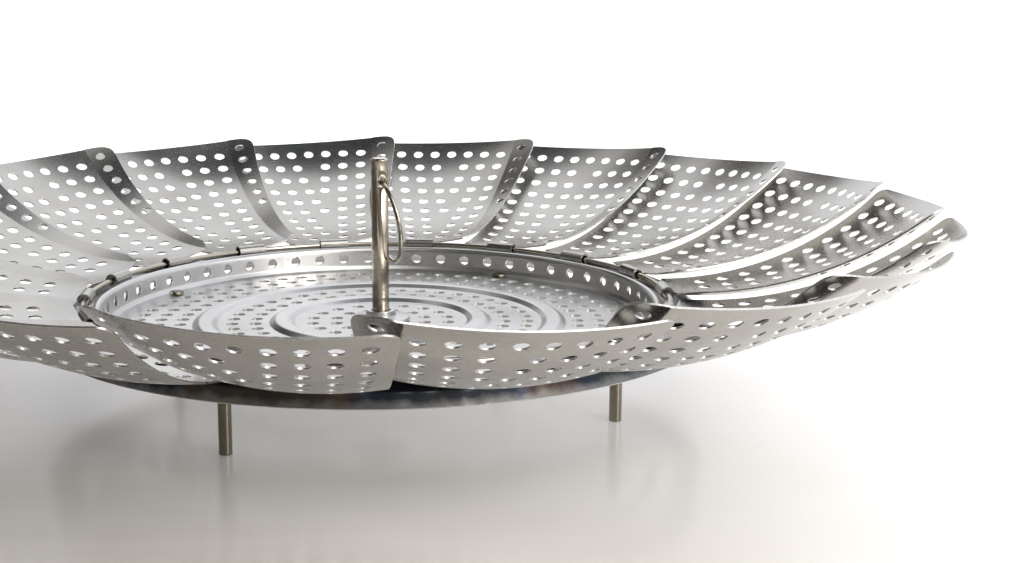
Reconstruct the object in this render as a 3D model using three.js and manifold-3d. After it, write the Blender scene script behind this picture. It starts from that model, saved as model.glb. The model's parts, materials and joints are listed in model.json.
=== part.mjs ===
// Folding vegetable steamer: a perforated stainless base pan on four short legs, ringed by
// eighteen overlapping petals that hinge on a wire, with a centre post and a lifting ring.
// Millimetres, +Z up. Origin: on the post's axis, in the plane the four feet stand on.

import * as THREE from 'three';
import Module from 'manifold-3d';

const wasm = await Module();
wasm.setup();

// ---------- driving dimensions ----------
const PETALS = 18;                 // petals round the base
const STEP = 360 / PETALS;         // degrees from one petal to the next
const FIRST_CREASE = -89.1;        // azimuth of petal 1's creased edge at the rim, degrees
const GAP = 0.3;                   // running clearance between separate parts

const SHEET = 0.45;                // petal sheet
const PAN_SHEET = 0.8;             // base pan sheet

const HINGE_R = 73.2;              // hinge wire, radius of its circle
const HINGE_Z = 24.2;              // hinge wire, height
const WIRE_R = 0.7;                // hinge wire, radius of its section
const KNUCKLE = { inner: 1.25, outer: 1.7, length: 8, sides: 10 };

const ROOT_X = 1.45;               // leaf starts this far from the hinge axis
const ROOT_SLOPE = -3.5;           // leaf's slope at the hinge, degrees
const RIM_SLOPE = 40.4;            // leaf's slope at the rim, degrees
const LEAF_R = 95.3;               // bending radius along the leaf
const CURL_ROOT = 76;              // bending radius across the leaf, at the hinge
const CURL_RIM = 88;               // bending radius across the leaf, at the rim
const TWIST = 0.05;                // creased edge rides inside its neighbour: rise per mm across
const HALF_ROOT = 12.55;           // half width at the hinge
const LOW_RIM = 23.8;              // creased edge at the rim, from the leaf's middle
const HIGH_RIM = 25.7;             // plain edge at the rim, from the leaf's middle
const RIM_ARC = 2.8;               // the rim's corners fall short of its middle by this much
const CORNER = 3.2;                // rounding of the plain rim corner
const FLANGE_ANGLE = 8;            // flange is folded in by this much, degrees
const FLANGE_WIDTH = 8.4;         // flange at its widest
const FLANGE_ROUND = 9;            // length over which its rim end rounds off
const FLANGE_ROOT = 3.2;           // flange at the hinge

const FLOOR_Z = 17.0;              // middle of the pan's floor sheet
const POST = { r: 2.15, top: 58.9, bottom: 17.9, holeZ: 52.9, holeR: 1.25 };
const RING = { r: 10.3, wire: 0.6, lean: 9, azimuth: -71.5 };
const BUSH = { bore: 2.45, shank: 4.0, head: 7.5, headTop: 20.2, tail: 6.2 };
const LEG = { r: 1.5, at: 65.3, first: 58.2, count: 4, tenon: 1.05, head: 2.2 };

const LEAF_LENGTH = LEAF_R * THREE.MathUtils.degToRad(RIM_SLOPE - ROOT_SLOPE);

// ---------- materials ----------
const steel = (name, color, roughness) =>
  Object.assign(new THREE.MeshStandardMaterial({ color, roughness, metalness: 1 }), { name });
const sheetSteel = steel('brushed sheet', 0xc9c7c2, 0.32);
const panSteel = steel('pressed pan', 0xb9b8b4, 0.36);
const rodSteel = steel('drawn rod', 0xb0a898, 0.28);
const wireSteel = steel('drawn wire', 0xb7b2a8, 0.25);

// ---------- helpers ----------
const rad = THREE.MathUtils.degToRad;

function geometryFrom(points, triangles) {
  const geometry = new THREE.BufferGeometry();
  geometry.setAttribute('position', new THREE.Float32BufferAttribute(points.flat(), 3));
  geometry.setIndex(triangles.flat());
  geometry.computeVertexNormals();
  return geometry;
}

// Manifold body of an indexed geometry; vertices at the same place are joined first.
function toManifold(geometry) {
  const position = geometry.attributes.position;
  const index = geometry.index ? geometry.index.array : [...Array(position.count).keys()];
  const seen = new Map();
  const points = [];
  const joined = [];
  for (let i = 0; i < position.count; i += 1) {
    const p = [position.getX(i), position.getY(i), position.getZ(i)];
    const key = p.map((v) => Math.round(v * 1e4)).join(',');
    if (!seen.has(key)) {
      seen.set(key, points.length);
      points.push(p);
    }
    joined.push(seen.get(key));
  }
  const triangles = [];
  for (let i = 0; i < index.length; i += 3) {
    const t = [joined[index[i]], joined[index[i + 1]], joined[index[i + 2]]];
    if (t[0] !== t[1] && t[1] !== t[2] && t[2] !== t[0]) triangles.push(t);
  }
  return new wasm.Manifold(new wasm.Mesh({
    numProp: 3,
    vertProperties: Float32Array.from(points.flat()),
    triVerts: Uint32Array.from(triangles.flat()),
  }));
}

function fromManifold(body) {
  const mesh = body.getMesh();
  const geometry = new THREE.BufferGeometry();
  geometry.setAttribute('position', new THREE.BufferAttribute(mesh.vertProperties, 3));
  geometry.setIndex(new THREE.BufferAttribute(mesh.triVerts, 1));
  const flat = geometry.toNonIndexed();
  flat.computeVertexNormals();
  return flat;
}

// Body of revolution about Z from a closed outline of [radius, height], listed so that
// the solid lies to its left.
function revolve(outline, segments) {
  const points = [];
  const triangles = [];
  const n = outline.length;
  for (let s = 0; s < segments; s += 1) {
    const a = (2 * Math.PI * s) / segments;
    for (const [r, z] of outline) points.push([r * Math.cos(a), r * Math.sin(a), z]);
  }
  for (let s = 0; s < segments; s += 1) {
    const next = (s + 1) % segments;
    for (let i = 0; i < n; i += 1) {
      const j = (i + 1) % n;
      const [a, b, c, d] = [s * n + i, s * n + j, next * n + j, next * n + i];
      triangles.push([a, c, b], [a, d, c]);
    }
  }
  return toManifold(geometryFrom(points, triangles));
}

// Outline of a bent sheet from the line down its middle, square-ended, mitred at the bends.
function sheetOutline(line, thickness) {
  const left = [];
  const right = [];
  for (let i = 0; i < line.length; i += 1) {
    const before = line[Math.max(i - 1, 0)];
    const after = line[Math.min(i + 1, line.length - 1)];
    const a = new THREE.Vector2(line[i][0] - before[0], line[i][1] - before[1]).normalize();
    const b = new THREE.Vector2(after[0] - line[i][0], after[1] - line[i][1]).normalize();
    const along = a.clone().add(b).normalize();
    const bend = i === 0 || i === line.length - 1 ? 1 : Math.max(a.dot(along), 0.5);
    const offset = thickness / 2 / bend;
    const normal = new THREE.Vector2(-along.y, along.x).multiplyScalar(offset);
    left.push([line[i][0] + normal.x, line[i][1] + normal.y]);
    right.push([line[i][0] - normal.x, line[i][1] - normal.y]);
  }
  return [...right, ...left.reverse()];
}

// Prism on a regular polygon, its axis along `direction` through `centre`.
function rod(centre, direction, radius, length, sides) {
  const geometry = new THREE.CylinderGeometry(radius, radius, length, sides);
  const turn = new THREE.Quaternion().setFromUnitVectors(
    new THREE.Vector3(0, 1, 0), new THREE.Vector3(...direction).normalize());
  geometry.applyQuaternion(turn);
  geometry.translate(...centre);
  return toManifold(geometry);
}

// Ring of round wire, centred on the origin in the XY plane.
function wireRing(radius, wire, around, section) {
  const outline = [];
  for (let i = 0; i < section; i += 1) {
    const a = (2 * Math.PI * (i + 0.5)) / section;
    outline.push([radius + wire * Math.cos(a), wire * Math.sin(a)]);
  }
  return revolve(outline, around);
}

const parts = new THREE.Group();
parts.name = 'folding_steamer';

function addPart(name, geometry, material) {
  const mesh = new THREE.Mesh(geometry, material.clone());
  mesh.name = name;
  parts.add(mesh);
  return mesh;
}

// ---------- base pan ----------
// One pressed sheet: floor with two raised rings, a hollow ridge, the hinge gutter outside
// it, the crest the open petals rest over, and a skirt with a turned lip.
function basePan() {
  const bead = (r) => [[r - 3, FLOOR_Z], [r - 1.5, FLOOR_Z + 1.1], [r + 1.5, FLOOR_Z + 1.1],
    [r + 3, FLOOR_Z]];
  const line = [
    [BUSH.shank + GAP, FLOOR_Z], ...bead(25), ...bead(44),
    [68.0, FLOOR_Z], [69.1, 18.4], [69.3, 22.9], [70.0, 23.6], [70.7, 22.9],
    [70.9, 20.9], [75.9, 20.9], [76.8, 22.3], [78.6, 22.5], [81.5, 20.4], [83.0, 17.5],
  ];
  let pan = revolve(sheetOutline(line, PAN_SHEET), 48);
  for (const [x, y] of legPlaces()) {
    pan = pan.subtract(rod([x, y, FLOOR_Z], [0, 0, 1], LEG.tenon + GAP, 4, 12));
  }
  addPart('base_pan', fromManifold(pan), panSteel);
}

function legPlaces() {
  const places = [];
  for (let k = 0; k < LEG.count; k += 1) {
    const a = rad(LEG.first + (360 / LEG.count) * k);
    places.push([LEG.at * Math.cos(a), LEG.at * Math.sin(a)]);
  }
  return places;
}

// ---------- legs: rods riveted through the floor ----------
function legs() {
  const under = FLOOR_Z - PAN_SHEET / 2 - GAP;
  const over = FLOOR_Z + PAN_SHEET / 2 + GAP;
  const profile = [
    [0, 0], [LEG.r - 0.25, 0], [LEG.r, 0.25], [LEG.r, under], [LEG.tenon, under],
    [LEG.tenon, over], [LEG.head, over], [LEG.head * 0.75, over + 0.7], [0, over + 0.9],
  ].map(([r, z]) => new THREE.Vector2(r, z));
  legPlaces().forEach(([x, y], k) => {
    const mesh = addPart(`leg_${k + 1}`, new THREE.LatheGeometry(profile, 16), rodSteel);
    mesh.geometry.rotateX(Math.PI / 2);
    mesh.position.set(x, y, 0);
  });
}

// ---------- hinge wire ----------
function hingeWire() {
  const mesh = addPart('hinge_wire', fromManifold(wireRing(HINGE_R, WIRE_R, 54, 6)), wireSteel);
  mesh.position.z = HINGE_Z;
}

// ---------- petals ----------
// Middle surface of the leaf: s runs from hinge to rim, y across it (creased edge at -y).
function leafFrame(s) {
  const slope = rad(ROOT_SLOPE) + s / LEAF_R;
  return {
    x: ROOT_X + LEAF_R * (Math.sin(slope) - Math.sin(rad(ROOT_SLOPE))),
    z: LEAF_R * (Math.cos(rad(ROOT_SLOPE)) - Math.cos(slope)),
    slope,
    curl: THREE.MathUtils.lerp(CURL_ROOT, CURL_RIM, s / LEAF_LENGTH),
  };
}

function leafPoint(s, y) {
  const f = leafFrame(s);
  const lift = (y * y) / (2 * f.curl) - TWIST * y;
  const tilt = y / f.curl - TWIST;
  const inward = new THREE.Vector3(-Math.sin(f.slope), 0, Math.cos(f.slope));
  const point = new THREE.Vector3(f.x, y, f.z).addScaledVector(inward, lift);
  const across = new THREE.Vector3(0, 1, 0).addScaledVector(inward, tilt).normalize();
  const along = new THREE.Vector3(Math.cos(f.slope), 0, Math.sin(f.slope));
  return { point, across, along, normal: new THREE.Vector3().crossVectors(along, across) };
}

function lowEdge(s) {
  return -THREE.MathUtils.lerp(HALF_ROOT, LOW_RIM, s / LEAF_LENGTH);
}

// Plain edge, rounded off where it meets the rim.
function highEdge(s, end) {
  const straight = THREE.MathUtils.lerp(HALF_ROOT, HIGH_RIM, s / LEAF_LENGTH);
  const into = Math.max(0, s - (end - CORNER)) / CORNER;
  return straight - CORNER * (1 - Math.sqrt(Math.max(0, 1 - into * into)));
}

// Widens from the hinge, then runs out to a sliver at the rim.
function flangeWidth(s, end) {
  const grown = THREE.MathUtils.lerp(FLANGE_ROOT, FLANGE_WIDTH, Math.min(s / (end - FLANGE_ROUND), 1));
  const into = THREE.MathUtils.clamp((s - (end - FLANGE_ROUND)) / FLANGE_ROUND, 0, 1);
  return 0.6 + (Math.min(grown, 0.8 + s * 0.6) - 0.6) * (1 - into ** 3.8);
}

// Point of the leaf a distance s up from the hinge, measured to the arc its rim lies on.
function rimmedPoint(s, y) {
  const back = RIM_ARC * (y / HIGH_RIM) ** 2 * (s / LEAF_LENGTH) ** 3;
  return leafPoint(s - back, y);
}

// One row of sheet points across flange and leaf, as pairs above and below the middle.
function petalRow(s, columns) {
  const low = lowEdge(s);
  const crease = rimmedPoint(s, low);
  const fold = rad(FLANGE_ANGLE);
  const outward = crease.across.clone().multiplyScalar(-Math.cos(fold))
    .addScaledVector(crease.normal, Math.sin(fold));
  const flangeNormal = crease.normal.clone().multiplyScalar(Math.cos(fold))
    .addScaledVector(crease.across, Math.sin(fold));
  const width = flangeWidth(s, LEAF_LENGTH);
  const row = [{ point: crease.point.clone().addScaledVector(outward, width),
    normal: flangeNormal }];
  const mitre = crease.normal.clone().add(flangeNormal).normalize()
    .multiplyScalar(1 / Math.cos(fold / 2));
  row.push({ point: crease.point, normal: mitre });
  const high = highEdge(s, LEAF_LENGTH);
  for (let c = 1; c <= columns; c += 1) {
    row.push(rimmedPoint(s, THREE.MathUtils.lerp(low, high, c / columns)));
  }
  return row;
}

function petalSheet() {
  const stations = [0, 4, 13, 24, 35, 46, 56, LEAF_LENGTH - 9, LEAF_LENGTH - 4,
    LEAF_LENGTH - 1.2, LEAF_LENGTH];
  const rows = stations.map((s) => petalRow(s, 5));
  const across = rows[0].length;
  const count = rows.length * across;
  const points = [];
  for (const side of [0.5, -0.5]) {
    for (const row of rows) {
      for (const { point, normal } of row) {
        points.push(point.clone().addScaledVector(normal, side * SHEET).toArray());
      }
    }
  }
  const triangles = [];
  const quad = (a, b, c, d) => triangles.push([a, b, c], [a, c, d]);
  for (let i = 0; i + 1 < rows.length; i += 1) {
    for (let j = 0; j + 1 < across; j += 1) {
      const [a, b, c, d] = [i * across + j, (i + 1) * across + j,
        (i + 1) * across + j + 1, i * across + j + 1];
      quad(a, b, c, d);
      quad(count + a, count + d, count + c, count + b);
    }
  }
  const edge = [];
  for (let j = 0; j < across; j += 1) edge.push(j);
  for (let i = 1; i < rows.length; i += 1) edge.push(i * across + across - 1);
  for (let j = across - 2; j >= 0; j -= 1) edge.push((rows.length - 1) * across + j);
  for (let i = rows.length - 2; i > 0; i -= 1) edge.push(i * across);
  edge.forEach((a, k) => {
    const b = edge[(k + 1) % edge.length];
    quad(a, b, count + b, count + a);
  });
  return toManifold(geometryFrom(points, triangles));
}

function petalBody() {
  const { inner, outer, length, sides } = KNUCKLE;
  const sleeve = rod([0, 0, 0], [0, 1, 0], outer, length, sides)
    .subtract(rod([0, 0, 0], [0, 1, 0], inner, length + 2, sides));
  return petalSheet().add(sleeve);
}

function petals() {
  const geometry = fromManifold(petalBody());
  for (let k = 0; k < PETALS; k += 1) {
    const azimuth = FIRST_CREASE + STEP * (k + 0.5);
    const mesh = addPart(`petal_${String(k + 1).padStart(2, '0')}`, geometry.clone(), sheetSteel);
    mesh.rotation.z = rad(azimuth);
    mesh.position.set(HINGE_R * Math.cos(rad(azimuth)), HINGE_R * Math.sin(rad(azimuth)), HINGE_Z);
  }
}

// ---------- centre post, its bush and the lifting ring ----------
function centrePost() {
  const { r, top, bottom, holeZ, holeR } = POST;
  const outline = [[0, bottom], [r - 0.35, bottom], [r, bottom + 0.35], [r, top - 0.4],
    [r - 0.4, top], [0, top]].map(([x, z]) => new THREE.Vector2(x, z));
  const turned = new THREE.LatheGeometry(outline, 20);
  turned.rotateX(Math.PI / 2);
  const along = [Math.cos(rad(RING.azimuth)), Math.sin(rad(RING.azimuth)), 0];
  const body = toManifold(turned).subtract(rod([0, 0, holeZ], along, holeR, 3 * r, 12));
  addPart('centre_post', fromManifold(body), rodSteel);
}

function postBush() {
  const { bore, shank, head, headTop, tail } = BUSH;
  const over = FLOOR_Z + PAN_SHEET / 2 + GAP;
  const under = FLOOR_Z - PAN_SHEET / 2 - GAP;
  const outline = [
    [bore, under - 1.3], [tail - 0.5, under - 1.3], [tail, under - 0.8], [tail, under],
    [shank, under], [shank, over], [head, over], [head - 0.3, over + 0.8],
    [bore + 1.4, over + 1.1], [bore + 1.2, headTop], [bore, headTop],
  ];
  addPart('post_bush', fromManifold(revolve(outline, 24)), panSteel);
}

function liftRing() {
  const mesh = addPart('lift_ring', fromManifold(wireRing(RING.r, RING.wire, 32, 6)), wireSteel);
  // plane of the ring holds the cross-hole's axis and hangs from it, leaning on the post
  const axis = new THREE.Vector3(Math.cos(rad(RING.azimuth)), Math.sin(rad(RING.azimuth)), 0);
  const down = new THREE.Vector3(0, 0, -1).applyAxisAngle(axis, rad(RING.lean));
  const normal = new THREE.Vector3().crossVectors(axis, down);
  mesh.quaternion.setFromRotationMatrix(new THREE.Matrix4().makeBasis(axis, down, normal));
  mesh.position.set(0, 0, POST.holeZ).addScaledVector(down, RING.r);
}

basePan();
postBush();
legs();
hingeWire();
petals();
centrePost();
liftRing();

export default parts;
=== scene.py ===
"""Folding steamer basket: the visual model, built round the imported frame. +Z up.
Lengths in this file are millimetres unless a name says otherwise; meshes are made in metres."""

import json
import math

import bmesh
import bpy
import numpy as np
from mathutils import Matrix, Vector
from mathutils.geometry import delaunay_2d_cdt

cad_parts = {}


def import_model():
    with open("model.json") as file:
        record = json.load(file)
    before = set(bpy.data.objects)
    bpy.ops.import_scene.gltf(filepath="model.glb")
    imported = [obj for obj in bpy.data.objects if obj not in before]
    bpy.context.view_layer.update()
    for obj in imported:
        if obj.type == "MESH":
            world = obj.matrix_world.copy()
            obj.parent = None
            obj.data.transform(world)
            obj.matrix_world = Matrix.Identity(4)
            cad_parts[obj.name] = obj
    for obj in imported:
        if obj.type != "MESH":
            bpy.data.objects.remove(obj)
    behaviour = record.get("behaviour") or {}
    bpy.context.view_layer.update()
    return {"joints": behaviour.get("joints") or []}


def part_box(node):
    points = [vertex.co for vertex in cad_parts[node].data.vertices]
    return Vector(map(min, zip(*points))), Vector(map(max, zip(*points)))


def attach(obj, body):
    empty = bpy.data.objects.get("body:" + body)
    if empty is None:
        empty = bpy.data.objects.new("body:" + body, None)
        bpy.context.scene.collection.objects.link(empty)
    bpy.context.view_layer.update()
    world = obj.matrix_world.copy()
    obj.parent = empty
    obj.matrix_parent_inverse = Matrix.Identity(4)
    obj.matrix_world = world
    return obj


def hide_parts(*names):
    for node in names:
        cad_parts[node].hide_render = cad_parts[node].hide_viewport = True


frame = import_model()

MM = 0.001
RAD = math.pi / 180

# ---------- driving dimensions, the same as the CAD's ----------
SHEET = 0.45                 # petal sheet
PAN_SHEET = 0.8              # base pan sheet
ROOT_X, ROOT_SLOPE, RIM_SLOPE = 1.45, -3.5 * RAD, 40.4 * RAD
LEAF_R = 95.3                # bending radius along the leaf
LEAF_LENGTH = LEAF_R * (RIM_SLOPE - ROOT_SLOPE)
CURL_ROOT, CURL_RIM, TWIST = 76.0, 88.0, 0.05
HALF_ROOT, LOW_RIM, HIGH_RIM = 12.55, 23.8, 25.7
RIM_ARC, CORNER = 2.8, 3.2
FLANGE_ANGLE, FLANGE_BEND = 8 * RAD, 3.0
FLANGE_WIDTH, FLANGE_ROOT, FLANGE_ROUND, FLANGE_POWER = 8.4, 3.2, 9.0, 3.8
KNUCKLE_IN, KNUCKLE_OUT, KNUCKLE_LENGTH = 1.25, 1.7, 8.0
FLOOR_Z = 17.0
POST_R, POST_TOP, POST_BOTTOM, HOLE_R = 2.15, 58.9, 17.9, 1.25
RING_R, RING_WIRE, RING_LEAN = 10.3, 0.6, 9 * RAD
BORE, SHANK, BUSH_HEAD, BUSH_TOP, BUSH_TAIL = 2.45, 4.0, 7.5, 20.2, 6.2
LEG_R, LEG_TENON, LEG_HEAD = 1.5, 1.05, 2.2
WIRE_R = 0.7
GAP = 0.3                    # clearance between riveted or sliding parts
UNDER, OVER = FLOOR_Z - PAN_SHEET / 2 - GAP, FLOOR_Z + PAN_SHEET / 2 + GAP   # the floor, with gaps

# ---------- punched holes ----------
PUNCH_R = 1.52               # radius of every punched hole
PITCH = 5.65                 # from hole to hole across a petal
ROW_PITCH = 6.4              # from row to row up a petal
FIRST_ROW = 5.5              # first row, in from the rim
ROW_SAG = 2.6                # how far rows dip towards the root at the crease
PLAIN_MARGIN = 4.6           # first column, in from the plain edge
CREASE_MARGIN = 3.5          # first column, in from the crease
FLANGE_MARGIN = 3.8          # the flange's own column, beyond the crease
CLOSEST = 4.3                # two families of columns stop this far apart
PUNCH_SIDES = 14
PUNCH_EASE = 0.07            # how far punched and sheared edges are rounded
SLIVER = 0.001               # a flat triangle lower than this is dropped
SHARP = 28 * RAD             # edges steeper than this stay sharp where the post is cut


# ---------- mesh making ----------
def unit(v):
    return v / np.maximum(np.linalg.norm(v, axis=-1, keepdims=True), 1e-12)


class Shell:
    """Vertices with their shading normals and faces with their material slots, in mm."""

    def __init__(self):
        self.points, self.normals, self.faces, self.slots = [], [], [], []
        self.count = 0

    def add(self, points, normals, faces, slot=0):
        first = self.count
        self.points.append(np.asarray(points, float).reshape(-1, 3))
        self.normals.append(np.asarray(normals, float).reshape(-1, 3))
        self.count += len(self.points[-1])
        self.face(faces, slot, first)
        return first

    def face(self, faces, slot=0, first=0):
        self.faces += [tuple(first + i for i in f) for f in faces]
        self.slots += [slot] * len(faces)

    def mesh(self, name, materials):
        mesh = bpy.data.meshes.new(name)
        mesh.from_pydata((np.concatenate(self.points) * MM).tolist(), [], self.faces)
        for material in materials:
            mesh.materials.append(material)
        mesh.polygons.foreach_set("material_index", self.slots)
        mesh.polygons.foreach_set("use_smooth", [True] * len(self.faces))
        mesh.update()
        mesh.normals_split_custom_set_from_vertices(unit(np.concatenate(self.normals)).tolist())
        return mesh


def triangulate(outline, rings, lines, extra):
    """Delaunay triangles inside a plane outline, with each ring left out as a hole."""
    points, edges, ring_of = [tuple(p) for p in outline], [], {}
    face = list(range(len(points)))
    for number, ring in enumerate(rings):
        first = len(points)
        points += [tuple(p) for p in ring]
        edges += [(first + i, first + (i + 1) % len(ring)) for i in range(len(ring))]
        for i in range(first, len(points)):
            ring_of[i] = number
    for line in lines:
        first = len(points)
        points += [tuple(p) for p in line]
        edges += [(first + i, first + i + 1) for i in range(len(line) - 1)]
    points += [tuple(p) for p in extra]
    co, _, found, sources, _, _ = delaunay_2d_cdt(
        [Vector(p) for p in points], edges, [face], 1, 1e-5, True)
    co = np.array([tuple(p) for p in co])
    owner = []
    for ids in sources:
        mine = [ring_of[i] for i in ids if i in ring_of]
        owner.append(mine[0] if mine else -1)
    kept = []
    for a, b, c in found:
        if owner[a] >= 0 and owner[a] == owner[b] == owner[c]:
            continue
        ab, ac = co[b] - co[a], co[c] - co[a]
        area = ab[0] * ac[1] - ab[1] * ac[0]
        longest = max(math.hypot(*ab), math.hypot(*ac), math.hypot(*(ac - ab)))
        if abs(area) > SLIVER * longest:
            kept.append((a, b, c) if area > 0 else (a, c, b))
    used = sorted({i for t in kept for i in t})
    new = {old: i for i, old in enumerate(used)}
    return co[used], [tuple(new[i] for i in t) for t in kept]


def border_loops(triangles):
    """Closed runs of the edges that only one triangle has, solid on their left."""
    directed = {(t[i], t[(i + 1) % 3]) for t in triangles for i in range(3)}
    after = {a: b for a, b in directed if (b, a) not in directed}
    loops = []
    while after:
        start = next(iter(after))
        loop = [start]
        while after[loop[-1]] != start:
            loop.append(after[loop[-1]])
        for i in loop:
            del after[i]
        loops.append(loop)
    return loops


def sheet_shell(shell, point, normal, triangles, thickness, outward_of):
    """A sheet of metal about its middle surface, with rounded edges all round it and in its
    holes. outward_of gives the directions out of the metal along a border loop."""
    half = thickness / 2
    top = shell.add(point + normal * half, normal, triangles)
    under = shell.add(point - normal * half, -normal, [t[::-1] for t in triangles])
    for loop in border_loops(triangles):
        outward = outward_of(loop)
        rims = [shell.add(point[loop] + outward * PUNCH_EASE
                          + normal[loop] * share * (half - PUNCH_EASE), outward, [])
                for share in (1, -1)]
        faces = []
        for i, here in enumerate(loop):
            j = (i + 1) % len(loop)
            after = loop[j]
            faces.append((top + here, rims[0] + i, rims[0] + j, top + after))
            faces.append((rims[0] + i, rims[1] + i, rims[1] + j, rims[0] + j))
            faces.append((rims[1] + i, under + here, under + after, rims[1] + j))
        shell.face(faces, 1)


def loop_sides(places):
    """The direction of a closed run of places at each of them, the mean of its two edges."""
    return unit(np.roll(places, -1, 0) - places) + unit(places - np.roll(places, 1, 0))


def filleted(line, radius, steps=4):
    """An outline with the corners between its ends rounded, as points and unit tangents."""
    straight, most = 0.02, 0.46     # a turn too small to round; a fillet's share of a side
    line = [np.array(p, float) for p in line]
    points, tangents = [line[0]], [unit(line[1] - line[0])]
    for i in range(1, len(line) - 1):
        a, b = line[i - 1] - line[i], line[i + 1] - line[i]
        u, v = unit(a), unit(b)
        turn = math.acos(float(np.clip(-u @ v, -1, 1)))
        if turn < straight:
            points.append(line[i])
            tangents.append(unit(v - u))
            continue
        reach = min(radius * math.tan(turn / 2),
                    most * min(np.linalg.norm(a), np.linalg.norm(b)))
        start, end = line[i] + u * reach, line[i] + v * reach
        for k in range(steps + 1):
            t = k / steps
            points.append((1 - t) ** 2 * start + 2 * t * (1 - t) * line[i] + t * t * end)
            tangents.append(unit((1 - t) * -u + t * v))
    points.append(line[-1])
    tangents.append(unit(line[-1] - line[-2]))
    return np.array(points), np.array(tangents)


def lathe(shell, outline, radius, around, centre=(0, 0, 0)):
    """Body of revolution about Z. The outline is [r, z] from the axis back to the axis, or
    closed on itself, with the solid on its left."""
    closed = outline[0] == outline[-1]
    if closed:
        outline = outline[:-1]
        middle = [(outline[-1][k] + outline[0][k]) / 2 for k in (0, 1)]
        outline = [middle, *outline, middle]
    points, tangents = filleted(outline, radius)
    angles = np.arange(around) * 2 * math.pi / around
    c, s = np.cos(angles), np.sin(angles)
    rows, normals = [], []
    for (r, z), (tr, tz) in zip(points, tangents):
        rows.append(np.stack([r * c, r * s, np.full(around, z)], 1) + np.array(centre))
        normals.append(np.stack([tz * c, tz * s, np.full(around, -tr)], 1))
    faces = []
    for low in range(0, (len(points) - 1) * around, around):
        high = low + around
        for k in range(around):
            j = (k + 1) % around
            faces.append((low + k, low + j, high + j, high + k))
    shell.add(np.concatenate(rows), np.concatenate(normals), faces)


def piece(name, shell, materials, body, nodes):
    """A shell as an object that rides on a body and stands for CAD nodes."""
    mesh = shell.mesh(name, materials)
    merge(mesh)
    obj = bpy.data.objects.new(name, mesh)
    bpy.context.scene.collection.objects.link(obj)
    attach(obj, body)
    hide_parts(*nodes)
    return obj


def merge(mesh):
    """Joins vertices that lie on one another, where a lathe's outline closes or meets its axis."""
    bm = bmesh.new()
    bm.from_mesh(mesh)
    bmesh.ops.remove_doubles(bm, verts=bm.verts, dist=2e-7)
    bmesh.ops.dissolve_degenerate(bm, dist=1e-8, edges=bm.edges)
    bm.to_mesh(mesh)
    bm.free()


# ---------- materials ----------
class Nodes:
    """Short names for building the node tree of a material or of the world."""

    def __init__(self, owner, shader="Principled BSDF"):
        owner.use_nodes = True
        self.owner, self.tree = owner, owner.node_tree
        self.shader = self.tree.nodes[shader]

    def add(self, kind, inputs=None, **settings):
        node = self.tree.nodes.new(kind)
        for key, value in settings.items():
            setattr(node, key, value)
        for key, value in (inputs or {}).items():
            if isinstance(value, bpy.types.NodeSocket):
                self.tree.links.new(value, node.inputs[key])
            else:
                node.inputs[key].default_value = value
        return node

    def math(self, operation, a, b=0.0, c=None, clamp=False):
        inputs = {0: a, 1: b} if c is None else {0: a, 1: b, 2: c}
        return self.add("ShaderNodeMath", inputs, operation=operation, use_clamp=clamp).outputs[0]

    def ramp(self, factor, *stops):
        node = self.add("ShaderNodeValToRGB", {0: factor})
        elements = node.color_ramp.elements
        while len(elements) < len(stops):
            elements.new(0.5)
        for element, (position, colour) in zip(elements, stops):
            element.position = position
            element.color = (*colour, 1) if hasattr(colour, "__len__") else (colour,) * 3 + (1,)
        return node.outputs[0]

    def noise(self, vector, scale, detail=4.0, roughness=0.55, stretch=(1, 1, 1), turn=(0, 0, 0)):
        placed = self.add("ShaderNodeMapping", {"Vector": vector, "Scale": stretch,
                                                "Rotation": turn})
        return self.add("ShaderNodeTexNoise", {
            "Vector": placed.outputs[0], "Scale": scale, "Detail": detail,
            "Roughness": roughness}).outputs[0]

    def mix(self, factor, a, b, mode="MIX"):
        return self.add("ShaderNodeMix", {0: factor, 6: a, 7: b}, data_type="RGBA",
                        blend_type=mode).outputs[2]

    def link(self, socket, target):
        self.tree.links.new(socket, self.shader.inputs[target])


def stain_and_painted_shade(n, place, colour):
    """The straw, brown and blue stain that heat leaves round the pan's rolled lip, darkened almost to
    black as painted shade where the petals overhang it.
    """
    inner, outer = LIP_STAIN_AND_SHADE
    split = n.add("ShaderNodeSeparateXYZ", {0: place})
    radius = n.math("SQRT", n.math("ADD", n.math("POWER", split.outputs[0], 2.0),
                                   n.math("POWER", split.outputs[1], 2.0)))
    wander = n.math("MULTIPLY", n.math("SUBTRACT", n.noise(place, 160, 3, 0.6), 0.5), 0.0022)
    radius = n.math("ADD", radius, wander)
    across = n.math("MULTIPLY", n.math("SUBTRACT", radius, inner), 1 / (outer - inner))
    # painted shade: nearly the whole band is covered with very dark colour, for the shade under the
    # petals, mixed with the heat stain's hues
    stain_and_shade_cover = n.ramp(across, (0.0, 0.0), (0.2, 0.97), (0.86, 0.97), (0.97, 0.6))
    # the stain and its painted shade fade out towards the back of the pan
    back = n.math("ADD", n.math("MULTIPLY", split.outputs[1], 6.0), 0.5)
    stain_and_shade_cover = n.math("MULTIPLY", stain_and_shade_cover, n.ramp(back, (0.58, 1.0), (0.78, 0.08)))
    olive, brown = (0.075, 0.073, 0.06), (0.12, 0.08, 0.06)
    blue, grey = (0.035, 0.045, 0.08), (0.05, 0.056, 0.068)
    hue = n.ramp(n.noise(place, 22, 2, 0.5), (0.36, olive), (0.46, brown), (0.52, blue), (0.62, grey))
    return n.mix(stain_and_shade_cover, colour, hue)


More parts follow.
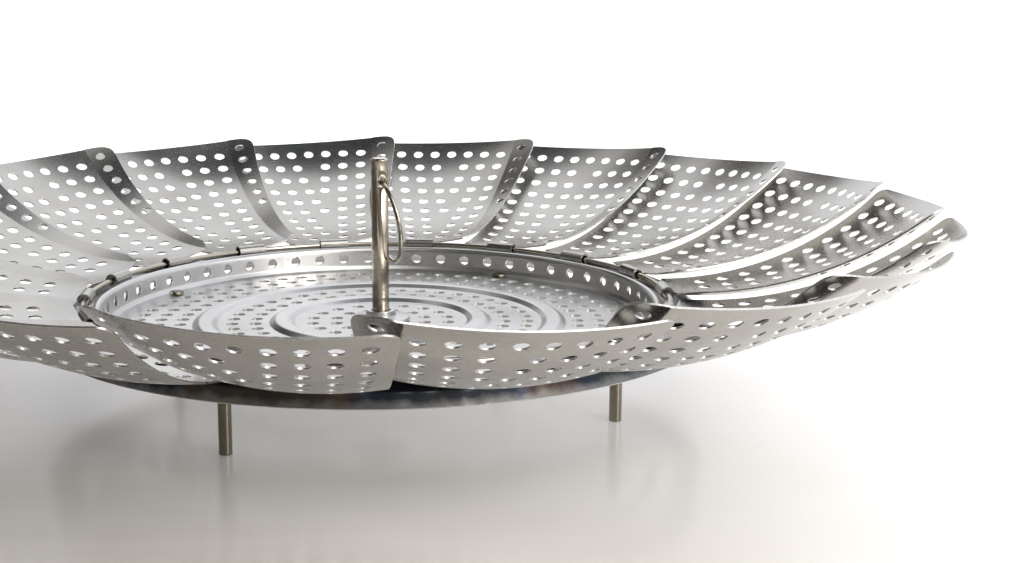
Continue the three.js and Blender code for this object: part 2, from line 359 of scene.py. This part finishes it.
def steel(name, dark, light, rough, brushed, scratches, waviness, grain=(1, 14, 1), stained_and_shaded=False):
    """Stainless steel: brushed grain, a few scratches, faint stains and slow waviness."""
    n = Nodes(bpy.data.materials.new(name))
    place = n.add("ShaderNodeTexCoord").outputs["Object"]
    seed = n.add("ShaderNodeObjectInfo").outputs["Random"]
    shifted = n.add("ShaderNodeVectorMath", {0: place, 1: n.add(
        "ShaderNodeCombineXYZ", {0: seed, 1: seed, 2: seed}).outputs[0]}, operation="ADD").outputs[0]
    line = n.noise(shifted, 900, 3, 0.6, grain)
    fine = n.noise(shifted, 2600, 2, 0.5, grain)
    blotch = n.noise(shifted, 70, 3, 0.5)
    slow = n.noise(shifted, 38, 2, 0.4)
    marks = None
    for turn, scale in ((0.35, 2600), (-0.8, 3300), (1.35, 2900)):
        one = n.noise(shifted, scale, 1, 0.3, (1, 0.03, 1), (0, 0, turn))
        one = n.math("MULTIPLY", n.math("SUBTRACT", one, 0.7), 9.0, clamp=True)
        marks = one if marks is None else n.math("MAXIMUM", marks, one)
    marks = n.math("MULTIPLY", marks, scratches)
    tone = n.math("ADD", n.math("MULTIPLY", line, 0.45), n.math("MULTIPLY", blotch, 0.55))
    colour = n.ramp(tone, (0.3, dark), (0.7, light))
    colour = n.mix(n.math("MULTIPLY", marks, 0.35), colour, (0.9, 0.89, 0.87, 1))
    # a stained and shaded steel gets the lip's heat stain with painted shade under the petals
    n.link(stain_and_painted_shade(n, place, colour) if stained_and_shaded else colour, "Base Color")
    roughness = n.math("ADD", rough - 0.5 * brushed - 0.05, n.math("MULTIPLY", line, brushed))
    roughness = n.math("ADD", roughness, n.math("MULTIPLY", blotch, 0.1))
    roughness = n.math("ADD", roughness, n.math("MULTIPLY", marks, 0.2), clamp=True)
    n.link(roughness, "Roughness")
    height = n.math("ADD", n.math("MULTIPLY", fine, 0.25), n.math("MULTIPLY", line, 0.5))
    height = n.math("SUBTRACT", height, n.math("MULTIPLY", marks, 0.6))
    small = n.add("ShaderNodeBump", {"Height": height, "Distance": 0.00001, "Strength": 0.35})
    large = n.add("ShaderNodeBump", {"Height": slow, "Distance": waviness, "Strength": 1.0,
                                     "Normal": small.outputs[0]})
    n.link(large.outputs[0], "Normal")
    n.shader.inputs["Metallic"].default_value = 1.0
    return n.owner


def sheared(name, colour, rough):
    """The bright, slightly torn edge of cut sheet."""
    n = Nodes(bpy.data.materials.new(name))
    place = n.add("ShaderNodeTexCoord").outputs["Object"]
    torn = n.noise(place, 1500, 3, 0.6, (1, 1, 0.3))
    spots = n.noise(place, 500, 2, 0.5)
    n.link(n.ramp(torn, (0.3, tuple(0.72 * c for c in colour)), (0.65, colour)), "Base Color")
    n.link(n.math("ADD", rough - 0.12, n.math("MULTIPLY", spots, 0.24)), "Roughness")
    bump = n.add("ShaderNodeBump", {"Height": torn, "Distance": 0.00003, "Strength": 0.5})
    n.link(bump.outputs[0], "Normal")
    n.shader.inputs["Metallic"].default_value = 1.0
    return n.owner


LIP_STAIN_AND_SHADE = (0.0762, 0.0834)  # the stained band with its painted shade, metres from the axis
ROD_GRAIN = (14, 14, 1)      # brushed along the rod
petal_steel = steel("petal_sheet", (0.385, 0.374, 0.352), (0.56, 0.55, 0.53), 0.24, 0.12, 0.6,
                    0.0002)
# the pan's lip gets a heat stain, darkened as painted shade under the petals
pan_steel = steel("pan_sheet", (0.55, 0.549, 0.55), (0.74, 0.739, 0.74), 0.3, 0.10, 0.6, 0.0005,
                  stained_and_shaded=True)
rod_steel = steel("rod", (0.37, 0.315, 0.245), (0.77, 0.7, 0.6), 0.1, 0.1, 0.5, 0.00005, ROD_GRAIN)
# painted shade: the legs take a much darker copy of the rod steel, for the shade beneath the basket
shaded_leg_steel = steel("leg_rod_painted_shade", (0.14, 0.125, 0.09), (0.33, 0.305, 0.25), 0.2, 0.1, 0.5, 0.00005,
                  ROD_GRAIN)
wire_steel = steel("wire", (0.38, 0.35, 0.29), (0.62, 0.58, 0.5), 0.18, 0.08, 0.4, 0.00004)
edge_steel = sheared("sheared_edge", (0.86, 0.85, 0.83), 0.3)


# ---------- petals ----------
FLANGE_LEAST = 0.6           # flange at the rim
FLANGE_START, FLANGE_GROWTH = 0.8, 0.6      # how it widens from the root
FLANGE_WIDTHS = (8.4, 8.35, 8.2, 7.9, 7.4, 6.7, 5.8, 4.7, 3.5, 2.2, 1.2, FLANGE_LEAST)
EDGE_PITCH, RIM_PITCH, ROOT_PITCH = 1.6, 1.4, 2.5     # points along the outline
CORNER_STEPS = 7
INNER_PITCH, INNER_ROWS = 2.5, 28           # points inside the outline
HOLE_ROWS, HOLE_COLUMNS = 10, 4             # at most, from each edge
PAST_MIDDLE = -1.5           # the plain edge's columns end here
FLANGE_DROP = 0.3            # the flange's holes sit this much nearer the root
FLANGE_ROOM = 0.5            # metal left beside a hole in the flange
HOLE_MARGIN, RIM_MARGIN = 0.85, 1.5         # inner points keep this far from holes and rim
CREASE_MARGIN_IN, PLAIN_MARGIN_IN = 1.6, 1.4         # and from the crease and the plain edge
CREASE_END = 0.9             # the crease's own points stop this far from the rim
HOLE_TURN = 0.1              # where a punched hole's first point lies, radians
FLAT_STEP = 1e-3             # how far an edge's outward direction is probed


def edge_low(s):
    return -(HALF_ROOT + (LOW_RIM - HALF_ROOT) * s / LEAF_LENGTH)


def edge_high(s):
    return HALF_ROOT + (HIGH_RIM - HALF_ROOT) * s / LEAF_LENGTH


def flange_width(s):
    straight = LEAF_LENGTH - FLANGE_ROUND
    grown = FLANGE_ROOT + (FLANGE_WIDTH - FLANGE_ROOT) * min(s / straight, 1)
    into = min(max((s - straight) / FLANGE_ROUND, 0), 1)
    wide = min(grown, FLANGE_START + FLANGE_GROWTH * s)
    return FLANGE_LEAST + (wide - FLANGE_LEAST) * (1 - into ** FLANGE_POWER)


def leaf_surface(co):
    """Points and normals of the leaf: co is [up from the hinge, across]; beyond the crease
    the second runs across the flange."""
    s, v = co[:, 0], co[:, 1]
    low = edge_low(s)
    y, beyond = np.maximum(v, low), np.maximum(low - v, 0)
    q = s - RIM_ARC * (y / HIGH_RIM) ** 2 * (s / LEAF_LENGTH) ** 3
    slope = ROOT_SLOPE + q / LEAF_R
    curl = CURL_ROOT + (CURL_RIM - CURL_ROOT) * q / LEAF_LENGTH
    zero, one = np.zeros_like(s), np.ones_like(s)
    inward = np.stack([-np.sin(slope), zero, np.cos(slope)], 1)
    along = np.stack([np.cos(slope), zero, np.sin(slope)], 1)
    across = unit(np.stack([zero, one, zero], 1) + inward * (y / curl - TWIST)[:, None])
    point = np.stack([ROOT_X + LEAF_R * (np.sin(slope) - math.sin(ROOT_SLOPE)), y,
                      LEAF_R * (math.cos(ROOT_SLOPE) - np.cos(slope))], 1)
    point += inward * (y * y / (2 * curl) - TWIST * y)[:, None]
    normal = np.cross(along, across)
    turned = np.minimum(beyond / FLANGE_BEND, FLANGE_ANGLE)
    rest = beyond - FLANGE_BEND * turned
    aside = FLANGE_BEND * np.sin(turned) + rest * np.cos(turned)
    rise = FLANGE_BEND * (1 - np.cos(turned)) + rest * np.sin(turned)
    point = point - across * aside[:, None] + normal * rise[:, None]
    return point, unit(normal * np.cos(turned)[:, None] + across * np.sin(turned)[:, None])


def steps(a, b, pitch):
    """Evenly spaced values from a towards b, without b."""
    count = max(1, round(abs(b - a) / pitch))
    return [a + (b - a) * i / count for i in range(count)]


def petal_outline():
    straight = LEAF_LENGTH - FLANGE_ROUND
    outline = [(s, edge_low(s) - flange_width(s)) for s in steps(0, straight, EDGE_PITCH)]
    full = FLANGE_WIDTH - FLANGE_LEAST
    for w in FLANGE_WIDTHS:
        s = straight + FLANGE_ROUND * (1 - (w - FLANGE_LEAST) / full) ** (1 / FLANGE_POWER)
        outline.append((s, edge_low(s) - w))
    rim = edge_low(LEAF_LENGTH), edge_high(LEAF_LENGTH) - CORNER
    outline += [(LEAF_LENGTH, v) for v in steps(rim[0], rim[1], RIM_PITCH)]
    for k in range(CORNER_STEPS + 1):
        a = (90 - k * 90 / CORNER_STEPS) * RAD
        s = LEAF_LENGTH - CORNER + CORNER * math.sin(a)
        outline.append((s, edge_high(s) - CORNER * (1 - math.cos(a))))
    outline += [(s, edge_high(s)) for s in steps(LEAF_LENGTH - CORNER, 0, EDGE_PITCH)[1:]]
    outline += [(0, v) for v in steps(edge_high(0), edge_low(0), ROOT_PITCH)]
    outline.append((0, edge_low(0)))
    return outline


def petal_holes():
    """Centres of the punched holes: columns run parallel to the nearer edge."""
    holes = []

    def dip(s, v):
        """Rows dip towards the root as they near the crease."""
        return s - ROW_SAG * (max(-v, 0) / -edge_low(LEAF_LENGTH)) ** 2

    for row in range(HOLE_ROWS):
        s = LEAF_LENGTH - FIRST_ROW - ROW_PITCH * row
        right = [edge_high(s) - PLAIN_MARGIN - PITCH * k for k in range(HOLE_COLUMNS)]
        right = [v for v in right if v > PAST_MIDDLE]
        left = [edge_low(s) + CREASE_MARGIN + PITCH * k for k in range(HOLE_COLUMNS)]
        left = [v for v in left if v < right[-1] - CLOSEST]
        holes += [(dip(s, v), v) for v in left + right]
        lower = s - FLANGE_DROP
        if flange_width(lower) > FLANGE_MARGIN + PUNCH_R + FLANGE_ROOM:
            holes.append((lower, edge_low(lower) - FLANGE_MARGIN))
    return holes


def circle(centre, radius, sides, turn=0.0, stretch=1.0):
    return [(centre[0] + radius * math.cos(turn + 2 * math.pi * k / sides),
             centre[1] + radius * math.sin(turn + 2 * math.pi * k / sides) * stretch)
            for k in range(sides)]


def knuckle(shell):
    """The sleeve rolled from the petal's root round the hinge wire, along Y."""
    sides = 28
    half = KNUCKLE_LENGTH / 2
    outline = [(KNUCKLE_OUT, -half), (KNUCKLE_OUT, half), (KNUCKLE_IN, half), (KNUCKLE_IN, -half)]
    facing = [(1, 0), (0, 1), (-1, 0), (0, -1)]
    a = np.arange(sides) * 2 * math.pi / sides
    for i in range(4):
        (r0, y0), (r1, y1), (nr, ny) = outline[i], outline[(i + 1) % 4], facing[i]
        points, normals = [], []
        for r, y in ((r0, y0), (r1, y1)):
            points.append(np.stack([r * np.cos(a), np.full(sides, y), r * np.sin(a)], 1))
            normals.append(np.stack([nr * np.cos(a), np.full(sides, ny), nr * np.sin(a)], 1))
        faces = [(sides + k, sides + (k + 1) % sides, (k + 1) % sides, k) for k in range(sides)]
        shell.add(np.concatenate(points), np.concatenate(normals), faces)


def petal_mesh():
    holes = petal_holes()
    outline = petal_outline()
    extra = []
    for i in range(1, INNER_ROWS + 1):
        s = i * INNER_PITCH
        v = edge_low(s) + CREASE_MARGIN_IN
        while v < edge_high(s) - PLAIN_MARGIN_IN:
            apart = min(math.dist((s, v), h) for h in holes)
            if apart > PUNCH_R + HOLE_MARGIN and s < LEAF_LENGTH - RIM_MARGIN:
                extra.append((s, v))
            v += INNER_PITCH
    ups = steps(EDGE_PITCH, LEAF_LENGTH - CREASE_END, EDGE_PITCH)
    crease = [[(s, edge_low(s) - t) for s in ups] for t in (0.0, FLANGE_BEND * FLANGE_ANGLE)]
    rings = [circle(h, PUNCH_R + PUNCH_EASE, PUNCH_SIDES, HOLE_TURN) for h in holes]
    co, triangles = triangulate(outline, rings, crease, extra)
    point, normal = leaf_surface(co)

    def outward(loop):
        side = loop_sides(co[loop])
        out = unit(np.stack([side[:, 1], -side[:, 0]], 1))
        moved, _ = leaf_surface(co[loop] + out * FLAT_STEP)
        return unit(moved - point[loop])

    shell = Shell()
    sheet_shell(shell, point, normal, triangles, SHEET, outward)
    knuckle(shell)
    return shell.mesh("petal", [petal_steel, edge_steel])


def petals():
    mesh = petal_mesh()
    for joint in frame["joints"]:
        if not joint["name"].startswith("fold_"):
            continue
        axis = joint["axis"]
        azimuth = math.atan2(axis[0], -axis[1])
        obj = bpy.data.objects.new(joint["child"] + "_sheet", mesh)
        obj.matrix_world = (Matrix.Translation(joint["pos_m"])
                            @ Matrix.Rotation(azimuth, 4, "Z"))
        bpy.context.scene.collection.objects.link(obj)
        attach(obj, joint["child"])
        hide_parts(joint["child"])


# ---------- base pan ----------
PAN_LINE = [
    (SHANK + GAP, FLOOR_Z),
    (22, FLOOR_Z), (23.5, FLOOR_Z + 1.1), (26.5, FLOOR_Z + 1.1), (28, FLOOR_Z),
    (41, FLOOR_Z), (42.5, FLOOR_Z + 1.1), (45.5, FLOOR_Z + 1.1), (47, FLOOR_Z),
    (68.0, FLOOR_Z), (69.1, 18.4), (69.3, 22.9), (70.0, 23.6), (70.7, 22.9),
    (70.9, 20.9), (75.9, 20.9), (76.8, 22.3), (78.6, 22.5), (81.5, 20.4), (83.0, 17.5),
]
PAN_FILLET, PAN_FILLET_STEPS = 1.1, 5
BAND_FROM, BAND_TO = (69.15, 18.9), (69.3, 22.4)     # foot and head of the upright wall
SECTORS = 6                  # the pan is meshed as one sector, laid this many times
FLOOR_RINGS = ((11.5, 12), (17.3, 18), (31.6, 36), (37.3, 42), (50.2, 54), (55.6, 60), (61.0, 66))
BAND_HOLES, BAND_R = 60, 1.35
PAN_HOLE_SIDES = 12
SECTOR_STEPS, BORE_STEPS = 20, 5            # points across a sector, and at the bush's hole
WIDE_ROW, ROW_STEP = 3.5, 2.8               # rows wider than the first are split at the second
FEWER_WITHIN = 20            # half the inner points inside this radius
HOLE_CLEARANCE = 0.45        # inner points keep this far from a hole
PLANE = 40.0                 # plane units per radian when the pan is laid flat
SEAM = 1e-4                  # points this near the closing seam lie on it


def p_at_radius(line, lengths, radius):
    """Distance along the pan's profile to a radius on its floor."""
    for i in range(len(line) - 1):
        if line[i][0] <= radius <= line[i + 1][0]:
            share = (radius - line[i][0]) / (line[i + 1][0] - line[i][0])
            return float(lengths[i] + share * (lengths[i + 1] - lengths[i]))
    raise ValueError(radius)


def p_between(line, lengths, a, b):
    """Distance along the profile halfway between the points nearest a and b."""
    near = [lengths[np.argmin(np.hypot(line[:, 0] - r, line[:, 1] - z))] for r, z in (a, b)]
    return float(sum(near) / 2)


def pan_holes(line, lengths):
    """The holes of one sector: distance along the profile, angle and radius."""
    rings = [(p_at_radius(line, lengths, r), count, PUNCH_R) for r, count in FLOOR_RINGS]
    rings.append((p_between(line, lengths, BAND_FROM, BAND_TO), BAND_HOLES, BAND_R))
    return [(p, (k + 0.5) * 2 * math.pi / count, radius)
            for p, count, radius in rings for k in range(count // SECTORS)]


def pan_rows(lengths):
    """Where along the profile the mesh has rows: at its points, and between distant ones."""
    rows = sorted(set(lengths[1:-1].tolist()))
    between = []
    for a, b in zip([0.0, *rows], [*rows, float(lengths[-1])]):
        if b - a > WIDE_ROW:
            count = round((b - a) / ROW_STEP)
            between += [a + (b - a) * i / count for i in range(1, count)]
    return sorted(rows + between)


def pan():
    line, tangents = filleted(PAN_LINE, PAN_FILLET, PAN_FILLET_STEPS)
    lengths = np.concatenate([[0], np.cumsum(np.linalg.norm(np.diff(line, axis=0), axis=1))])

    def along_profile(p, values):
        return np.interp(p, lengths, values)

    def surface(co):
        """Points and normals from the flat layout: co is [along the profile, round the axis]."""
        p, angle = co[:, 0], co[:, 1] / PLANE
        r, z = along_profile(p, line[:, 0]), along_profile(p, line[:, 1])
        tr, tz = along_profile(p, tangents[:, 0]), along_profile(p, tangents[:, 1])
        c, s = np.cos(angle), np.sin(angle)
        return np.stack([r * c, r * s, z], 1), unit(np.stack([-tz * c, -tz * s, tr], 1))

    holes = pan_holes(line, lengths)
    rings = []
    for p, angle, radius in holes:
        stretch = PLANE / float(along_profile(p, line[:, 0]))
        rings.append(circle((p, angle * PLANE), radius + PUNCH_EASE, PAN_HOLE_SIDES, 0.0, stretch))
    rows, span, extra = pan_rows(lengths), 2 * math.pi / SECTORS, []
    for p in rows:
        r = float(along_profile(p, line[:, 0]))
        for k in range(1, SECTOR_STEPS):
            angle = span * k / SECTOR_STEPS
            clear = all(math.hypot(p - hp, (angle - ha) * r) > hr + HOLE_CLEARANCE
                        for hp, ha, hr in holes)
            if clear and (r > FEWER_WITHIN or k % 2 == 0):
                extra.append((p, angle * PLANE))
    end, top = float(lengths[-1]), span * PLANE
    outline = [(0.0, 0.0)] + [(p, 0.0) for p in rows] + [(end, 0.0)]
    outline += [(end, top * k / SECTOR_STEPS) for k in range(1, SECTOR_STEPS)]
    outline += [(end, top)] + [(p, top) for p in reversed(rows)] + [(0.0, top)]
    outline += [(0.0, top * (1 - k / BORE_STEPS)) for k in range(1, BORE_STEPS)]
    co, triangles = triangulate(outline, rings, [], extra)

    # the sector is laid round the floor, with its cut sides joined
    places, everything, faces = {}, [], []
    for sector in range(SECTORS):
        ids = []
        for p, y in co:
            turned = (y + sector * top) % (SECTORS * top)
            if SECTORS * top - turned < SEAM:
                turned = 0.0
            key = (round(p, 4), round(turned, 4))
            if key not in places:
                places[key] = len(everything)
                everything.append((p, turned))
            ids.append(places[key])
        faces += [tuple(ids[i] for i in t) for t in triangles]
    point, normal = surface(np.array(everything))

    def outward(loop):
        return unit(np.cross(unit(loop_sides(point[loop])), normal[loop]))

    shell = Shell()
    sheet_shell(shell, point, normal, faces, PAN_SHEET, outward)
    piece("pan_sheet_metal", shell, [pan_steel, edge_steel], "base", ["base_pan"])


# ---------- turned and bent pieces ----------
def ring_shell(shell, radius, wire, around, section, matrix):
    """Ring of round wire, centred on matrix, in its XY plane."""
    points, normals, faces = [], [], []
    turn = matrix.to_3x3()
    for i in range(around):
        a = 2 * math.pi * i / around
        out = Vector((math.cos(a), math.sin(a), 0))
        for k in range(section):
            b = 2 * math.pi * k / section
            normal = turn @ (out * math.cos(b) + Vector((0, 0, math.sin(b))))
            points.append(matrix @ (out * radius) + normal * wire)
            normals.append(normal)
            j, m = (i + 1) % around, (k + 1) % section
            faces.append((i * section + k, j * section + k, j * section + m, i * section + m))
    shell.add(np.array([tuple(p) for p in points]), np.array([tuple(p) for p in normals]), faces)


def legs():
    """Rods on the table, each with a tenon through the floor and a rivet's domed head."""
    ease, shoulder, crown = 0.15, 0.65, 0.88
    for number in range(1, 5):
        name = f"leg_{number}"
        low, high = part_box(name)
        centre = ((low.x + high.x) / 2 / MM, (low.y + high.y) / 2 / MM, 0)
        shell = Shell()
        lathe(shell, [(0, 0), (LEG_R - ease, 0), (LEG_R, ease), (LEG_R, UNDER), (LEG_TENON, UNDER),
                      (LEG_TENON, OVER), (LEG_HEAD, OVER), (LEG_HEAD * 0.8, OVER + shoulder),
                      (0, OVER + crown)], 0.2, 40, centre)
        # the legs wear the darker copy of the rod steel, painted shade
        piece(name + "_rod", shell, [shaded_leg_steel], "base", [name])


def bush():
    """The post's guide: a shank through the floor between a flange above and a tail below."""
    tail, ease, flange, foot = 1.3, 0.5, 0.8, 1.1
    shell = Shell()
    lathe(shell, [(BORE, UNDER - tail), (BUSH_TAIL - ease, UNDER - tail),
                  (BUSH_TAIL, UNDER - tail + ease), (BUSH_TAIL, UNDER), (SHANK, UNDER),
                  (SHANK, OVER), (BUSH_HEAD, OVER), (BUSH_HEAD - 0.3, OVER + flange),
                  (BORE + 1.4, OVER + foot), (BORE + 1.2, BUSH_TOP), (BORE, BUSH_TOP),
                  (BORE, UNDER - tail)], 0.25, 72)
    piece("post_bush_boss", shell, [pan_steel], "base", ["post_bush"])


def hinge_wire():
    joint = next(j for j in frame["joints"] if j["name"] == "fold_01")
    x, y, z = joint["pos_m"]
    shell = Shell()
    ring_shell(shell, math.hypot(x, y) / MM, WIRE_R, 216, 12, Matrix.Translation((0, 0, z / MM)))
    piece("hinge_wire_round", shell, [wire_steel], "base", ["hinge_wire"])


def lift_ring():
    joint = next(j for j in frame["joints"] if j["name"] == "ring_swing")
    axis = Vector(joint["axis"])
    down = Matrix.Rotation(RING_LEAN, 3, axis) @ Vector((0, 0, -1))
    normal = axis.cross(down)
    turn = Matrix((axis, down, normal)).transposed().to_4x4()
    centre = Vector(joint["pos_m"]) / MM + down * RING_R
    shell = Shell()
    ring_shell(shell, RING_R, RING_WIRE, 120, 16, Matrix.Translation(centre) @ turn)
    piece("lift_ring_wire", shell, [wire_steel], "ring", ["lift_ring"])


def centre_post():
    """A turned rod with a cross-hole, its mouths slightly eased."""
    foot, crown = 0.35, 0.4                  # the ends' chamfers
    mouth, deep, past = 0.9, 0.42, 0.02      # the mouths' widening, depth and overshoot
    joint = next(j for j in frame["joints"] if j["name"] == "ring_swing")
    shell = Shell()
    lathe(shell, [(0, POST_BOTTOM), (POST_R - foot, POST_BOTTOM), (POST_R, POST_BOTTOM + foot),
                  (POST_R, POST_TOP - crown), (POST_R - crown, POST_TOP), (0, POST_TOP)], 0.25, 64)
    post = piece("centre_post_rod", shell, [rod_steel], "post", ["centre_post"])
    cutter_shell = Shell()
    lathe(cutter_shell, [(0, -4), (HOLE_R + mouth, -4), (HOLE_R + mouth, -POST_R - past),
                         (HOLE_R, -POST_R + deep), (HOLE_R, POST_R - deep),
                         (HOLE_R + mouth, POST_R + past), (HOLE_R + mouth, 4), (0, 4)], 0.02, 32)
    cutter = bpy.data.objects.new("cutter", cutter_shell.mesh("cutter", [rod_steel]))
    merge(cutter.data)
    bpy.context.scene.collection.objects.link(cutter)
    turn = Vector((0, 0, 1)).rotation_difference(Vector(joint["axis"])).to_matrix().to_4x4()
    cutter.matrix_world = Matrix.Translation(joint["pos_m"]) @ turn
    bpy.context.view_layer.update()
    modifier = post.modifiers.new("cross_hole", "BOOLEAN")
    modifier.operation, modifier.object, modifier.solver = "DIFFERENCE", cutter, "EXACT"
    dg = bpy.context.evaluated_depsgraph_get()
    cut = bpy.data.meshes.new_from_object(post.evaluated_get(dg))
    post.modifiers.clear()
    post.data = cut
    cut.set_sharp_from_angle(angle=SHARP)
    bpy.data.objects.remove(cutter)


# ---------- floor, light and camera ----------
def floor():
    size = 6.0
    mesh = bpy.data.meshes.new("table")
    mesh.from_pydata([(-size, -size, 0), (size, -size, 0), (size, size, 0), (-size, size, 0)], [],
                     [(0, 1, 2, 3)])
    n = Nodes(bpy.data.materials.new("table"))
    place = n.add("ShaderNodeTexCoord").outputs["Object"]
    split = n.add("ShaderNodeSeparateXYZ", {0: place})
    grain = n.noise(place, 60, 4, 0.6, (0.12, 1, 1))
    # painted light: the table's colour grows lighter towards the right and the back, where the light
    # falls, and runs out into a white backdrop
    across = n.math("MULTIPLY_ADD", split.outputs[1], 0.9, 0.0945)
    along = n.math("ADD", split.outputs[0], across)
    tone = n.math("MULTIPLY_ADD", along, 2.5, 0.4)
    tone = n.math("ADD", tone, n.math("MULTIPLY", n.math("SUBTRACT", grain, 0.5), 0.1), clamp=True)
    n.link(n.ramp(tone, (0.0, (0.38, 0.36, 0.33)), (0.25, (0.6, 0.57, 0.53)),
                  (0.4, (0.84, 0.81, 0.77)), (0.75, (0.9, 0.885, 0.87))), "Base Color")
    n.link(n.math("ADD", 0.1, n.math("MULTIPLY", grain, 0.14)), "Roughness")
    n.shader.inputs["Specular IOR Level"].default_value = 0.4
    # painted light: the table glows as well, more towards the right and the back, though it is no
    # lamp
    painted_glow = n.math("MULTIPLY_ADD", along, 3.0, 0.1)
    n.link(n.ramp(painted_glow, (0.2, 0.09), (0.45, 0.18), (1.0, 0.45)), "Emission Strength")
    n.shader.inputs["Emission Color"].default_value = (1, 1, 1, 1)
    mesh.materials.append(n.owner)
    obj = bpy.data.objects.new("table", mesh)
    bpy.context.scene.collection.objects.link(obj)


def world():
    sky = bpy.data.worlds.new("studio")
    bpy.context.scene.world = sky
    n = Nodes(sky, "Background")
    split = n.add("ShaderNodeSeparateXYZ", {0: n.add("ShaderNodeTexCoord").outputs["Generated"]})
    x, y, z = split.outputs

    def towards(a, b, c):
        """How nearly the sky's direction is (a, b, c): 1 when it is."""
        return n.math("ADD", n.math("MULTIPLY", x, a),
                      n.math("ADD", n.math("MULTIPLY", y, b), n.math("MULTIPLY", z, c)))

    # bright walls all round the back and the right, a dim warm room to the left and in front
    side = n.math("ADD", n.math("MULTIPLY", x, 0.75), n.math("MULTIPLY", y, 0.65))
    walls = n.ramp(n.math("MULTIPLY_ADD", side, 0.5, 0.5),
                   (0.0, (0.05, 0.045, 0.04)), (0.3, (0.16, 0.15, 0.14)),
                   (0.45, (0.8, 0.79, 0.78)), (0.6, (1.25, 1.26, 1.3)),
                   (0.78, (1.25, 1.26, 1.3)), (0.92, (0.95, 0.96, 0.99)))
    # an unlit patch of ceiling overhead, wider than it is deep
    wide = n.math("POWER", n.math("MULTIPLY", x, 1.5), 2.0)
    deep = n.math("POWER", n.math("MULTIPLY", n.math("SUBTRACT", y, 0.06), 3.4), 2.0)
    below = n.math("MULTIPLY", n.math("LESS_THAN", z, 0.0), 4.0)
    patch = n.math("ADD", n.math("ADD", wide, deep), below)
    ceiling = n.ramp(n.math("MULTIPLY", patch, 0.5), (0.36, (0.04, 0.052, 0.055)), (0.62, 1.0))
    both = n.mix(1.0, walls, ceiling, "MULTIPLY")
    # two dark flags in front of the backdrop, on the left: direction, edge, heart and tone
    for way, edge, heart, tone in (((-0.56, 0.77, 0.3), 0.92, 0.975, (0.08, 0.075, 0.065)),
                                   ((-0.47, 0.66, 0.586), 0.945, 0.982, (0.1, 0.095, 0.085))):
        both = n.mix(1.0, both, n.ramp(towards(*way), (edge, 1.0), (heart, tone)), "MULTIPLY")
    # a soft light above and in front
    soft = n.ramp(towards(0.28, -0.5, 0.82), (0.88, 0.0), (0.95, (1.3, 1.28, 1.22)))
    n.link(n.mix(1.0, both, soft, "ADD"), "Color")
    n.shader.inputs["Strength"].default_value = 1.0


def lamp(name, place, target, size, watts, colour=(1, 1, 1), mirrored=True):
    light = bpy.data.lights.new(name, "AREA")
    light.shape, light.size, light.size_y, light.energy = "RECTANGLE", size[0], size[1], watts
    light.color = colour
    obj = bpy.data.objects.new(name, light)
    obj.location = place
    obj.visible_glossy = mirrored
    obj.rotation_mode = "QUATERNION"
    obj.rotation_quaternion = (Vector(place) - Vector(target)).to_track_quat("Z", "Y")
    bpy.context.scene.collection.objects.link(obj)


def camera():
    """The photograph's view: turned to the right by yaw and down by pitch, a little tilted."""
    place = (0, -0.394, 0.10664)
    yaw, pitch, roll = 4.853 * RAD, 11.37 * RAD, -0.47 * RAD
    right = Vector((math.cos(yaw), -math.sin(yaw), 0))
    ahead = Vector((math.sin(yaw) * math.cos(pitch), math.cos(yaw) * math.cos(pitch),
                    -math.sin(pitch)))
    up = right.cross(ahead)
    turned_right = right * math.cos(roll) - up * math.sin(roll)
    turned_up = right * math.sin(roll) + up * math.cos(roll)
    data = bpy.data.cameras.new("camera")
    data.sensor_width, data.lens = 36, 55.5
    data.clip_start, data.clip_end = 0.01, 50
    obj = bpy.data.objects.new("camera", data)
    turn = Matrix((turned_right, turned_up, -ahead)).transposed().to_4x4()
    obj.matrix_world = Matrix.Translation(place) @ turn
    bpy.context.scene.collection.objects.link(obj)
    bpy.context.scene.camera = obj


petals()
pan()
bush()
legs()
hinge_wire()
centre_post()
lift_ring()
floor()
world()
lamp("overhead", (0.05, 0.25, 1.0), (0, 0, 0), (1.3, 1.1), 6.5, (1.0, 0.985, 0.96), mirrored=False)
lamp("window", (0.75, -0.85, 0.55), (0, 0, 0.03), (0.4, 0.7), 6.0, (1.0, 0.94, 0.86))
camera()
bpy.context.scene.view_settings.view_transform = "Standard"
